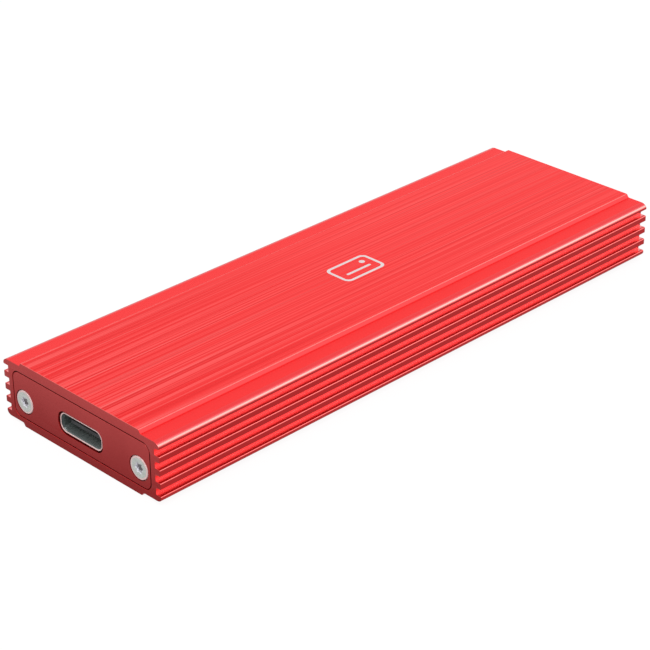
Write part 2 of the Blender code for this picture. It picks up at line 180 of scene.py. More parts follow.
def circle(radius, centre, steps=48):
    return arc(centre, radius, 0, 360, steps)[:-1]


def rectangle(width, height, centre, radius, steps):
    """A rectangle with rounded corners, each of them in that many steps."""
    x, z = width / 2 - radius, height / 2 - radius
    points = []
    for cx, cz, start in ((x, z, 0), (-x, z, 90), (-x, -z, 180), (x, -z, 270)):
        points += arc((centre[0] + cx, centre[1] + cz), radius, start, start + 90, steps)
    return points


def six_lobes(radius, lobe, centre, steps=72):
    points = []
    for i in range(steps):
        angle = 2 * pi * i / steps
        r = radius + lobe * cos(6 * angle)
        points.append((centre[0] + r * cos(angle), centre[1] + r * sin(angle)))
    return points


def box_of(node, axis="Z"):
    """A node's lowest and highest corners, and its centre as seen along Z or, from the front, Y."""
    low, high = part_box(node)
    if axis == "Y":
        return low, high, (0.0, (low.z + high.z) / 2)
    return low, high, ((low.x + high.x) / 2, (low.y + high.y) / 2)


def inset(loop, distance):
    """The loop moved inwards along its own normals; a negative distance moves it outwards."""
    edges = list(zip(loop[-1:] + loop[:-1], loop))
    area = sum(a[0] * b[1] - b[0] * a[1] for a, b in edges)
    way = 1 if area > 0 else -1
    normals = []
    for a, b in edges:
        dx, dz = b[0] - a[0], b[1] - a[1]
        length = hypot(dx, dz) or 1.0
        normals.append((-way * dz / length, way * dx / length))
    moved = []
    for (x, z), before, after in zip(loop, normals, normals[1:] + normals[:1]):
        share = distance / max(0.4, 1 + before[0] * after[0] + before[1] * after[1])
        moved.append((x + share * (before[0] + after[0]), z + share * (before[1] + after[1])))
    return moved


def groove(height):
    outer, root = WIDTH / 2, WIDTH / 2 - GROOVE_DEPTH
    half = (RIB_PITCH - RIB_THICKNESS) / 2
    lip, foot = half + RIB_CORNER, half - GROOVE_FILLET
    return [
        *arc((outer - RIB_CORNER, height + lip), RIB_CORNER, 0, -90, 6),
        *arc((root + GROOVE_FILLET, height + foot), GROOVE_FILLET, 90, 180, 8),
        *arc((root + GROOVE_FILLET, height - foot), GROOVE_FILLET, 180, 270, 8),
        *arc((outer - RIB_CORNER, height - lip), RIB_CORNER, 90, 0, 6),
    ]


def long_edge(width, drop):
    """The +X part of the top: sloped step beside the band, level strip and rounded edge."""
    strip = HEIGHT - BAND_RISE
    crest, foot = BAND_HALF_WIDTH - 0.08 * MM, BAND_HALF_WIDTH + 0.24 * MM
    return [
        (crest - 0.11 * MM, HEIGHT),
        (crest - 0.04 * MM, HEIGHT - 0.015 * MM),
        (crest, HEIGHT - 0.06 * MM),
        (foot, strip + 0.05 * MM),
        (foot + 0.08 * MM, strip),
        (WIDTH / 2 - width - 0.2 * MM, strip),
        *quarter_ellipse((WIDTH / 2 - width, strip), width, drop, 16),
    ]


def housing_outline():
    side = long_edge(EDGE_WIDTH, EDGE_DROP)
    for i in range(RIB_COUNT - 1):
        side += groove(HEIGHT / 2 + ((RIB_COUNT - 2) / 2 - i) * RIB_PITCH)
    side += [(x, HEIGHT - z) for x, z in reversed(long_edge(LOWER_EDGE_WIDTH, LOWER_EDGE_DROP))]
    return side + [(-x, z) for x, z in reversed(side)]


def cavity_outline():
    centre = (0.0, (CAVITY_FLOOR + CAVITY_ROOF) / 2)
    return rectangle(2 * CAVITY_HALF_WIDTH, CAVITY_ROOF - CAVITY_FLOOR, centre, CAVITY_CORNER, 10)


def rail_outline(side):
    outer = CAVITY_HALF_WIDTH + RAIL_EMBED
    bottom = CAVITY_FLOOR - RAIL_EMBED
    lean = degrees(asin(PORT_SLOT / 2 / PORT_RADIUS))
    board_low, board_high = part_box("bridge_board")
    slot_bottom = board_low.z - BOARD_SLOT_CLEARANCE
    slot_top = board_high.z + BOARD_SLOT_CLEARANCE
    points = [
        (RAIL_INNER, bottom),
        (outer, bottom),
        (outer, RAIL_TOP),
        (SCREW_X + PORT_SLOT / 2, RAIL_TOP),
        *arc((SCREW_X, SCREW_Z), PORT_RADIUS, 90 - lean, lean - 270, 32),
        (SCREW_X - PORT_SLOT / 2, RAIL_TOP),
        (RAIL_INNER + 0.15 * MM, RAIL_TOP),
        (RAIL_INNER, RAIL_TOP - 0.15 * MM),
        (RAIL_INNER, slot_top),
        (RAIL_INNER + BOARD_SLOT_DEPTH, slot_top),
        (RAIL_INNER + BOARD_SLOT_DEPTH, slot_bottom),
        (RAIL_INNER, slot_bottom),
    ]
    return [(side * x, z) for x, z in points]


# Walls: lists of (level, loop) stations along an axis


def spaced(count, pitch):
    """Evenly spaced places along a line, about its middle."""
    return [(i - (count - 1) / 2) * pitch for i in range(count)]


def straight(loop, low, high):
    return [(low, loop), (high, loop)]


def rounded(loop, low, high, edge, ends=(True, True), steps=3):
    """A straight wall whose ends are rounded inwards; a negative edge flares a hole's mouths."""
    sign = 1 if edge > 0 else -1
    way = 1 if high > low else -1
    near, far = [], []
    for i in range(steps + 1):
        angle = pi / 2 * i / steps
        ring = inset(loop, edge * (1 - sin(angle)))
        depth = way * sign * edge * (1 - cos(angle))
        near.append((low + depth, ring))
        far.append((high - depth, ring))
    first = near if ends[0] else [(low, loop)]
    last = far[::-1] if ends[1] else [(high, loop)]
    return first + last


def threaded(start, end, centre, radius, steps=32, per_turn=7):
    """Stations of a screw thread from start to end, with a tapered tip."""
    way = 1 if end > start else -1
    count = ceil(abs(end - start) / THREAD_PITCH * per_turn)
    wall = []
    for i in range(count + 1):
        level = start + (end - start) * i / count
        near_end = min(1.0, abs(end - level) / (1.2 * THREAD_PITCH))
        near_start = min(1.0, abs(level - start) / THREAD_PITCH)
        loop = []
        for k in range(steps):
            phase = (way * level / THREAD_PITCH - k / steps) % 1.0
            crest = 1 - abs(2 * phase - 1)
            r = radius - THREAD_DEPTH * (1 - crest * near_start) - 0.15 * MM * (1 - near_end)
            angle = 2 * pi * k / steps
            loop.append((centre[0] + r * cos(angle), centre[1] + r * sin(angle)))
        wall.append((level, loop))
    return wall


def turned(rows, centre, steps=48):
    """Stations of a turned part, from (level, radius) rows."""
    return [(level, circle(radius, centre, steps)) for level, radius in rows]


def lobed(rows, centre):
    """Stations of a six-lobe recess, from (level, radius, lobe) rows."""
    return [(level, six_lobes(radius, lobe, centre)) for level, radius, lobe in rows]


PLACES = {
    "Y": lambda point, level: (point[0], level, point[1]),
    "Z": lambda point, level: (point[0], point[1], level),
}


def added(name, data):
    """A new object in the scene."""
    obj = bpy.data.objects.new(name, data)
    bpy.context.scene.collection.objects.link(obj)
    return obj


class Shape:
    """A mesh under way: one or more closed solids, each face with its finish."""

    def __init__(self):
        self.mesh = bmesh.new()
        self.finishes = []

    def finish_index(self, finish):
        if finish not in self.finishes:
            self.finishes.append(finish)
        return self.finishes.index(finish)

    def wall(self, stations, place):
        rings = [[self.mesh.verts.new(place(p, level)) for p in loop] for level, loop in stations]
        faces = [
            self.mesh.faces.new((near[i - 1], near[i], far[i], far[i - 1]))
            for near, far in zip(rings, rings[1:])
            for i in range(len(near))
        ]
        return rings, faces

    def cap(self, rings):
        corners = [vert for ring in rings for vert in ring]
        triangles = tessellate_polygon([[vert.co for vert in ring] for ring in rings])
        return [self.mesh.faces.new([corners[i] for i in t]) for t in triangles]

    def solid(self, finish, outer, through=(), pockets=(), axis="Y"):
        """An outer wall with holes right through it, and pockets in its first face."""
        walls = [self.wall(stations, PLACES[axis]) for stations in (outer, *through, *pockets)]
        rings = [made for made, _ in walls]
        faces = [face for _, made in walls for face in made]
        faces += self.cap([made[0] for made in rings])
        faces += self.cap([made[-1] for made in rings[:1 + len(through)]])
        for made in rings[1 + len(through):]:
            faces += self.cap([made[-1]])
        bmesh.ops.recalc_face_normals(self.mesh, faces=faces)
        index = self.finish_index(finish)
        for face in faces:
            face.material_index = index
            face.smooth = True
        return faces

    def block(self, finish, low, high, edge=0.05 * MM, corner=None):
        """A box from corner to corner, with rounded edges."""
        centre = ((low[0] + high[0]) / 2, (low[1] + high[1]) / 2)
        loop = rectangle(high[0] - low[0], high[1] - low[1], centre, corner or edge * 1.2, 3)
        self.solid(finish, rounded(loop, low[2], high[2], edge, steps=2), axis="Z")

    def bar(self, finish, x, half, start, end, edge=0.05 * MM):
        """A box from x - half to x + half, and from start to end in (y, z)."""
        self.block(finish, (x - half, *start), (x + half, *end), edge)

    def made(self, name, body, slot, stands_for=()):
        data = bpy.data.meshes.new(name)
        self.mesh.to_mesh(data)
        self.mesh.free()
        data.set_sharp_from_angle(angle=radians(42))
        for finish in self.finishes:
            data.materials.append(finish)
        obj = added(name, data)
        even = obj.modifiers.new("even_normals", "WEIGHTED_NORMAL")
        even.keep_sharp = True
        even.weight = 60
        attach(obj, body)
        if stands_for:
            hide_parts(*stands_for)

    def stand_in(self, node, slot, body="drawer"):
        """The finished piece in place of the CAD node of that name."""
        self.made(f"{node}_part", body, slot, [node])


# Materials


class Graph:
    """The shader nodes of a material or a world, with helpers for the ones used often."""

    def __init__(self, owner):
        owner.use_nodes = True
        self.nodes, self.links = owner.node_tree.nodes, owner.node_tree.links

    def node(self, kind, inputs, **settings):
        """A new node; each of its inputs is a value, or the output that feeds it."""
        made = self.nodes.new(f"ShaderNode{kind}")
        for name, value in settings.items():
            setattr(made, name, value)
        for socket, value in inputs.items():
            if isinstance(value, bpy.types.NodeSocket):
                self.links.new(value, made.inputs[socket])
            else:
                made.inputs[socket].default_value = value
        return made

    def spread(self, value, low, high, to_low=0.0, to_high=1.0):
        """The value's range from low to high, mapped to another and clamped to it."""
        ends = {"From Min": low, "From Max": high, "To Min": to_low, "To Max": to_high}
        return self.node("MapRange", {"Value": value, **ends}).outputs["Result"]

    def vary(self, noise, to_low=0.0, to_high=1.0):
        """The range that most of a noise lies in, mapped to another."""
        return self.spread(noise, 0.3, 0.7, to_low, to_high)

    def math(self, operation, first, second):
        return self.node("Math", {0: first, 1: second}, operation=operation).outputs["Value"]

    def mix(self, factor, first, second):
        """A colour between two, each of them a tuple or an output."""
        pair = [(*c, 1.0) if isinstance(c, tuple) else c for c in (first, second)]
        inputs = {"Factor": factor, 6: pair[0], 7: pair[1]}
        return self.node("Mix", inputs, data_type="RGBA").outputs[2]


class Surface(Graph):
    """A Principled material with helpers for the textures that feed it."""

    def __init__(self, name, colour, roughness, metallic=0.0, coat=0.0, specular=0.5):
        self.material = bpy.data.materials.new(name)
        super().__init__(self.material)
        self.shader = self.nodes["Principled BSDF"]
        for socket, value in (
            ("Base Color", (*colour, 1.0)), ("Roughness", roughness), ("Metallic", metallic),
            ("Coat Weight", coat), ("Coat Roughness", 0.12), ("Specular IOR Level", specular),
        ):
            self.set(socket, value)
        self.place = self.nodes.new("ShaderNodeTexCoord").outputs["Object"]

    def set(self, socket, value):
        self.shader.inputs[socket].default_value = value

    def link(self, output, socket):
        self.links.new(output, self.shader.inputs[socket])

    def stretched(self, cell, turn=0.0):
        """Coordinates in which one unit is a cell, of one size or of a size along each axis."""
        sides = cell if isinstance(cell, tuple) else (cell, cell, cell)
        scale = [1 / side for side in sides]
        inputs = {"Vector": self.place, "Scale": scale, "Rotation": (0.0, 0.0, turn)}
        return self.node("Mapping", inputs).outputs["Vector"]

    def coordinate(self, axis):
        return self.node("SeparateXYZ", {"Vector": self.place}).outputs[axis]

    def ramp(self, value, stops):
        """A colour that runs through (position, colour) stops as the value goes from 0 to 1."""
        made = self.node("ValToRGB", {"Fac": value})
        elements = made.color_ramp.elements
        while len(elements) < len(stops):
            elements.new(0.5)
        for element, (position, colour) in zip(elements, stops):
            element.position = position
            element.color = (*colour, 1.0)
        return made.outputs["Color"]

    def noise(self, cell, detail=3.0, roughness=0.55):
        inputs = {"Scale": 1.0, "Detail": detail, "Roughness": roughness}
        return self.node("TexNoise", {**inputs, "Vector": self.stretched(cell)}).outputs["Fac"]

    def roughen(self, noise, low, high):
        self.link(self.vary(noise, low, high), "Roughness")

    def bump(self, height, distance, strength=0.5):
        inputs = {"Distance": distance, "Strength": strength, "Height": height}
        self.link(self.node("Bump", inputs).outputs["Normal"], "Normal")


def upwards(made):
    return made.spread(made.coordinate("Z"), 0.0, HEIGHT)


def rearwards(made):
    return made.spread(made.coordinate("Y"), FRONT, REAR)


def inwards(made):
    """From the ribs' edges towards the bottoms of the grooves: the mask of the grooves' painted
    shade and light.
    """
    across = made.math("ABSOLUTE", made.coordinate("X"), 0.0)
    return made.spread(across, WIDTH / 2 - 0.2 * MM, WIDTH / 2 - 0.62 * MM)


def brushed_band():
    """Anodised aluminium brushed lengthwise: fine grain, faint broad streaks and scratches, with
    painted light paler at the front end than at the rear.
    """
    made = Surface("anodised_brushed", RED, 0.3, metallic=1.0)
    grain = made.noise((0.30 * MM, 110 * MM, 1.0), 1.0, 0.6)
    streak = made.noise((1.1 * MM, 120 * MM, 1.0), 2.0, 0.5)
    scratch = made.noise((0.26 * MM, 110 * MM, 1.0), 1.0, 0.5)
    glint = made.noise((0.24 * MM, 120 * MM, 2.0), 1.0, 0.5)
    along = rearwards(made)
    strength = made.spread(along, 0.0, 1.0, 0.9, 0.68)
    tone = made.spread(grain, 0.4, 0.6, -0.44, 0.44)
    tone = made.math("ADD", tone, made.vary(streak, -0.06, 0.06))
    tone = made.math("ADD", made.math("MULTIPLY", tone, strength), 0.5)
    reds = [made.ramp(tone, tuple(zip((0.0, 0.5, 1.0), r))) for r in (FRONT_REDS, REAR_REDS)]
    # painted light: paler reds at the front end, deeper towards the rear
    colour = made.mix(along, *reds)
    bright = made.math("MULTIPLY", made.spread(glint, 0.6, 0.72, 0.0, 0.8), strength)
    colour = made.mix(bright, colour, GLINT_RED)
    dark = made.math("MULTIPLY", made.spread(scratch, 0.58, 0.7, 0.0, 0.9), strength)
    made.link(made.mix(dark, colour, SCRATCH_RED), "Base Color")
    made.link(made.spread(grain, 0.25, 0.75, 0.26, 0.36), "Roughness")
    height = made.math("ADD", grain, made.math("MULTIPLY", streak, 0.6))
    made.bump(made.math("SUBTRACT", height, made.math("MULTIPLY", dark, 0.5)), 0.002 * MM)
    return made.material


def blasted(made, lines, low, high):
    """A fine blasted grain over lines: roughness from low to high, and a slight relief."""
    blast = made.noise(0.05 * MM, 2.0, 0.6)
    made.roughen(blast, low, high)
    made.bump(made.math("ADD", blast, made.math("MULTIPLY", lines, 0.5)), 0.002 * MM)
    return made.material


def satin_red(name, low, high, roughness=0.24, way=upwards):
    """Anodised aluminium, extruded and blasted, with faint die lines; from low to high colour."""
    made = Surface(name, low, roughness, metallic=1.0)
    die = made.noise((0.3 * MM, 60 * MM, 0.3 * MM), 3.0, 0.5)
    cloud = made.noise((6 * MM, 18 * MM, 6 * MM), 2.0, 0.5)
    drift = made.math("ADD", made.vary(die, -0.08, 0.08), made.vary(cloud, -0.06, 0.06))
    made.link(made.mix(made.math("ADD", way(made), drift), low, high), "Base Color")
    return blasted(made, die, roughness - 0.04, roughness + 0.06)


def side_with_painted_highlight(name):
    """Satin anodising, with a painted highlight and a painted shade line along the upper rounded
    edges.
    """
    made = Surface(name, (0.89, 0.045, 0.047), 0.22, metallic=1.0)
    edge_noise = made.noise((0.3 * MM, 25 * MM, 0.3 * MM), 3.0, 0.5)
    depth = made.math("SUBTRACT", HEIGHT, made.coordinate("Z"))
    depth = made.spread(depth, HIGHLIGHT_START, HIGHLIGHT_END)
    depth = made.math("ADD", depth, made.vary(edge_noise, -0.02, 0.02))
    # painted highlight and painted shade: a pale band, then a dark line, down the rounded edge
    made.link(made.ramp(depth, EDGE_PAINTED_HIGHLIGHT), "Base Color")
    return blasted(made, edge_noise, 0.18, 0.28)


def plated_steel(name, colour, roughness, grain=0.04 * MM, metallic=1.0):
    made = Surface(name, colour, roughness, metallic=metallic)
    wear = made.noise(0.5 * MM, 4.0, 0.6)
    fine = made.noise(grain, 3.0, 0.6)
    shade = tuple(0.84 * c for c in colour)
    made.link(made.mix(made.spread(wear, 0.35, 0.65), shade, colour), "Base Color")
    made.roughen(fine, roughness - 0.08, roughness + 0.12)
    made.bump(fine, 0.003 * MM)
    return made.material


def moulded(name, colour, roughness, grain=0.06 * MM, depth=0.004 * MM):
    """Moulded plastic or resin with a fine spark-eroded grain."""
    made = Surface(name, colour, roughness)
    fine = made.noise(grain, 3.0, 0.65)
    pale = tuple(1.5 * c + 0.006 for c in colour)
    made.link(made.mix(made.vary(made.noise(2.5 * MM, 2.0, 0.5)), colour, pale), "Base Color")
    made.roughen(fine, roughness - 0.1, roughness + 0.12)
    made.bump(fine, depth, 0.6)
    return made.material


def solder_resist(name, colour, trace):
    """Lacquered board: tracks show as faint raised lines, with a scatter of small vias."""
    made = Surface(name, colour, 0.32, coat=0.4)
    lines = {"Mortar Size": 0.05, "Mortar Smooth": 0.2, "Brick Width": 3.1, "Row Height": 0.42}
    straight_tracks, slanted_tracks = [
        made.node(
            "TexBrick", {"Vector": made.stretched(cell, turn), "Scale": 1.0, **lines}, offset=0.37
        ).outputs["Fac"]
        for cell, turn in ((1.3 * MM, 0.0), (2.1 * MM, 0.785))
    ]
    region = made.spread(made.noise((5 * MM, 7 * MM, 5 * MM), 1.0, 0.4), 0.5, 0.54)
    first = made.math("MULTIPLY", straight_tracks, region)
    second = made.math("MULTIPLY", slanted_tracks, made.math("SUBTRACT", 1.0, region))
    dots = made.node("TexVoronoi", {"Vector": made.stretched(1.9 * MM), "Scale": 1.0})
    via = made.spread(dots.outputs["Distance"], 0.10, 0.07)
    relief = made.math("MAXIMUM", made.math("MAXIMUM", first, second), via)
    made.link(made.mix(relief, colour, trace), "Base Color")
    made.roughen(made.noise(0.4 * MM), 0.24, 0.4)
    made.bump(relief, 0.02 * MM)
    return made.material


def silicone():
    """Filled silicone: soft, matt and slightly uneven."""
    made = Surface("silicone_pad", (0.34, 0.40, 0.47), 0.72, specular=0.35)
    mottle = made.noise(1.6 * MM, 4.0, 0.6)
    fine = made.noise(0.12 * MM, 3.0, 0.6)
    made.link(made.mix(made.vary(mottle), (0.30, 0.36, 0.43), (0.42, 0.48, 0.55)), "Base Color")
    made.roughen(fine, 0.6, 0.85)
    made.bump(made.math("ADD", mottle, fine), 0.03 * MM)
    return made.material


def silver_ink():
    made = Surface("silver_ink", (0.66, 0.56, 0.56), 0.42, metallic=0.25)
    fine = made.noise((0.08 * MM, 1.2 * MM, 0.08 * MM), 3.0, 0.6)
    made.link(made.mix(made.vary(fine), (0.60, 0.48, 0.48), (0.72, 0.64, 0.64)), "Base Color")
    made.roughen(fine, 0.35, 0.5)
    return made.material


def pale_floor():
    """White paper that glows a little, so that shadows on it stay faint."""
    made = Surface("studio_floor", (0.08, 0.08, 0.08), 0.9, specular=0.0)
    haze = made.noise(0.2, 2.0, 0.5)
    made.link(made.mix(haze, (0.078, 0.078, 0.078), (0.082, 0.082, 0.082)), "Base Color")
    made.set("Emission Color", (1.0, 1.0, 1.0, 1.0))
    made.set("Emission Strength", 0.93)
    return made.material


BRUSHED = brushed_band()
# painted shade: the strips a deeper red towards the rear end
STRIP = satin_red("anodised_strip", (0.98, 0.027, 0.029), (0.99, 0.0, 0.001), way=rearwards)
# sides, with a painted highlight and a painted shade line along their upper rounded edges
SIDE = side_with_painted_highlight("anodised_side")
# painted highlight: pale red for the rib corners and the small edges beside the top and bottom
CORNER_PAINTED_HIGHLIGHT = satin_red("anodised_corner_painted_highlight", (0.96, 0.17, 0.165), (0.98, 0.20, 0.19))
# painted shade and painted light: dark near the rib edges, pale towards the groove bottoms
GROOVE_PAINTED_SHADE_AND_LIGHT = satin_red("anodised_groove", (0.60, 0.015, 0.015), (0.92, 0.31, 0.31), 0.2, inwards)
# painted light: the groove walls a paler red than the sides
GROOVE_BACK_PAINTED_LIGHT = satin_red("anodised_groove_back", (0.91, 0.12, 0.12), (0.93, 0.13, 0.13), 0.2)
# painted shade: the end plates and cut ends darker towards the bottom
PLATE_PAINTED_SHADE = satin_red("anodised_plate", (0.49, 0.025, 0.026), (0.90, 0.116, 0.114), 0.3)
SCREW = plated_steel("screw_nickel", (0.68, 0.71, 0.67), 0.27, metallic=0.55)
# painted shade: near-black red for the walls of the countersunk holes
SINK_PAINTED_SHADE = satin_red("anodised_sink_painted_shade", (0.14, 0.008, 0.010), (0.17, 0.010, 0.012), 0.45)
# painted reflection: the receptacle's steel tinted pink by the red housing
PORT_PAINTED_REFLECTION = plated_steel("port_steel", (0.94, 0.66, 0.64), 0.24, DRAWN, 0.65)
# painted shade: dark inner walls of the receptacle
PORT_INSIDE_PAINTED_SHADE = plated_steel("port_inside_painted_shade", (0.12, 0.145, 0.14), 0.3, ROLLED, 0.4)
# painted light: the paler floor inside the receptacle
PORT_FLOOR_PAINTED_LIGHT = plated_steel("port_floor_painted_light", (0.23, 0.265, 0.26), 0.3, ROLLED, 0.4)
# painted shade: the darkest walls, at the flared mouth
PORT_MOUTH_PAINTED_SHADE = plated_steel("port_mouth_painted_shade", (0.05, 0.065, 0.064), 0.35, FLARED, 0.4)
# painted shade: dark bottom of the screw recesses
RECESS_PAINTED_SHADE = plated_steel("screw_recess_painted_shade", (0.22, 0.20, 0.21), 0.3, metallic=0.7)
# painted highlight: pale walls of the screw recesses
SOCKET_PAINTED_HIGHLIGHT = plated_steel("screw_socket_painted_highlight", (0.84, 0.83, 0.88), 0.22, metallic=0.75)
# painted reflection: the screw rims tinted pink by the red plate
RIM_PAINTED_REFLECTION = plated_steel("screw_rim_painted_reflection", (1.0, 0.71, 0.70), 0.24, metallic=0.55)
BLACK = moulded("black_plastic", (0.020, 0.020, 0.022), 0.48)
RESIN = moulded("chip_resin", (0.028, 0.028, 0.031), 0.58, 0.04 * MM)
FERRITE = moulded("ferrite", (0.085, 0.085, 0.09), 0.62, 0.1 * MM, 0.01 * MM)
CERAMIC = moulded("ceramic", (0.36, 0.24, 0.15), 0.5)
FILM = moulded("resistor_film", (0.02, 0.02, 0.025), 0.4)
GREEN = solder_resist("green_resist", (0.008, 0.060, 0.030), (0.020, 0.115, 0.060))
NIGHT = solder_resist("black_resist", (0.008, 0.009, 0.013), (0.022, 0.024, 0.032))
GOLD = plated_steel("contact_gold", (0.83, 0.58, 0.22), 0.24)
TIN = plated_steel("tin", (0.66, 0.65, 0.63), 0.36)
CAN = plated_steel("crystal_can", (0.72, 0.70, 0.64), 0.27, (0.03 * MM, 0.3 * MM, 0.03 * MM))
BRASS = plated_steel("standoff_brass", (0.78, 0.57, 0.26), 0.27)
PAD = silicone()


# The housing


def groove_finish(centre, normal):
    """Rib faces as the sides, a painted highlight on their upper corners, and the grooves between
    them with painted shade and light.
    """
    depth = WIDTH / 2 - abs(centre.x)
    if depth < RIB_CORNER and 0.1 < normal.z < 0.97:
        return CORNER_PAINTED_HIGHLIGHT
    if depth < 0.02 * MM or abs(normal.y) > 0.5:
        return SIDE
    return GROOVE_PAINTED_SHADE_AND_LIGHT if normal.z > 0.6 else GROOVE_BACK_PAINTED_LIGHT


def paint_housing(faces, shape):
    """Brushed bands, satin strips beside them, plate-like cut ends painted darker towards the
    bottom, and the ribbed sides.
    """
    for face in faces:
        centre, normal = face.calc_center_median(), face.normal
        depth = min(centre.z, HEIGHT - centre.z)
        level = abs(normal.z) > 0.99
        finish = SIDE
        if BAND_RISE + EDGE_DROP < depth and abs(centre.x) > CAVITY_HALF_WIDTH + 0.1 * MM:
            finish = groove_finish(centre, normal)
        # painted highlight on the small edges beside the top and bottom faces
        elif depth < 0.07 * MM and not level:
            finish = CORNER_PAINTED_HIGHLIGHT
        if abs(normal.y) > 0.9:
            finish = PLATE_PAINTED_SHADE
        elif level and depth < 0.01 * MM and abs(centre.x) < BAND_HALF_WIDTH:
            finish = BRUSHED
        elif level and depth < BAND_RISE + 0.02 * MM and abs(centre.x) < WIDTH / 2 - EDGE_WIDTH:
            finish = STRIP
        face.material_index = shape.finish_index(finish)


def make_housing():
    shape = Shape()
    faces = shape.solid(
        SIDE,
        rounded(housing_outline(), FRONT, REAR, CUT_EDGE),
        through=[rounded(cavity_outline(), FRONT, REAR, -CUT_EDGE)],
    )
    paint_housing(faces, shape)
    for side in (1, -1):
        loop = rail_outline(side)
        shape.solid(SIDE, rounded(loop, FRONT + RAIL_INSET, REAR - RAIL_INSET, 0.04 * MM, steps=1))
    shape.made("housing_skin", "case", "anodised_housing", ["housing"])


# End plates and screws


def make_end_plate(name, node, body, face, into, cutout=None):
    """A plate with two countersunk holes, whose walls are painted dark as shade, and maybe a
    cut-out.
    """
    low, high, centre = box_of(node, "Y")
    back = face + into * (high.y - low.y)
    corner = CAVITY_CORNER - (CAVITY_HALF_WIDTH - high.x)
    outline = rectangle(high.x - low.x, high.z - low.z, centre, corner, 10)
    head_low, head_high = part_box("front_screw_left")
    sink = (head_high.x - head_low.x) / 2 + SCREW_SINK
    clear = SCREW_RADIUS + SCREW_CLEARANCE
    rows = ((face, sink), (face + into * SCREW_HEAD_DEPTH, clear), (back, clear))
    holes = [turned(rows, (side * SCREW_X, SCREW_Z)) for side in (1, -1)]
    if cutout:
        holes.append(rounded(cutout, face, back, -0.02 * MM))
    shape = Shape()
    faces = shape.solid(PLATE_PAINTED_SHADE, rounded(outline, face, back, PLATE_EDGE), through=holes)
    # painted shade on the walls of the countersunk holes
    shaded = shape.finish_index(SINK_PAINTED_SHADE)
    for wall in faces:
        place = wall.calc_center_median()
        out = hypot(abs(place.x) - SCREW_X, place.z - SCREW_Z)
        if out < sink + 0.005 * MM and abs(wall.normal.y) < 0.9:
            wall.material_index = shaded
    shape.made(name, body, "anodised_plate", [node])


def usb_cutout():
    return rectangle(*USB_CUTOUT, box_of("usb_c_shell", "Y")[2], USB_CUTOUT_CORNER, 12)


def make_plate_screw(place, word, side, face_level, into):
    """A countersunk screw: chamfered rim, six-lobe recess and a cut thread; the recess has a bottom
    painted dark as shade and walls painted pale as highlight, and the rim a pink painted
    reflection.
    """
    node = f"{place}_screw_{word}"
    low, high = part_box(node)
    centre = (side * SCREW_X, SCREW_Z)
    radius = (high.x - low.x) / 2
    end = face_level + into * (high.y - low.y)

    def at(depth):
        return face_level + into * depth

    head = turned((
        (at(0.0), radius - HEAD_RIM),
        (at(0.012 * MM), radius - 0.09 * MM),
        (at(0.09 * MM), radius - 0.02 * MM),
        (at(0.14 * MM), radius),
        (at(0.2 * MM), radius - 0.05 * MM),
        (at(SCREW_HEAD_DEPTH), SCREW_RADIUS),
    ), centre, 32)
    thread = threaded(at(SCREW_HEAD_DEPTH + 0.05 * MM), end, centre, SCREW_RADIUS)
    recess = lobed((
        (at(0.0), 0.84 * MM, 0.13 * MM),
        (at(0.08 * MM), 0.68 * MM, 0.12 * MM),
        (at(RECESS_DEPTH), 0.60 * MM, 0.11 * MM),
    ), centre) + turned([(at(0.40 * MM), 0.30 * MM)], centre, 72)
    shape = Shape()
    faces = shape.solid(SCREW, head + thread, pockets=[recess])
    # painted shade at the recess bottom, painted highlight on its walls, painted reflection on the
    # rim
    bottom, rim, walls = [shape.finish_index(finish) for finish in (RECESS_PAINTED_SHADE, RIM_PAINTED_REFLECTION, SOCKET_PAINTED_HIGHLIGHT)]
    for face in faces:
        spot = face.calc_center_median()
        out = hypot(spot.x - centre[0], spot.z - centre[1])
        depth = abs(spot.y - face_level)
        if out < 0.98 * MM and 0.001 * MM < depth < 0.6 * MM:
            face.material_index = bottom if depth > RECESS_DEPTH else walls
        elif out > radius - HEAD_RIM and depth < 0.13 * MM:
            face.material_index = rim
    shape.stand_in(node, "screw_steel", f"screw_{place}_{word}")


# The receptacle


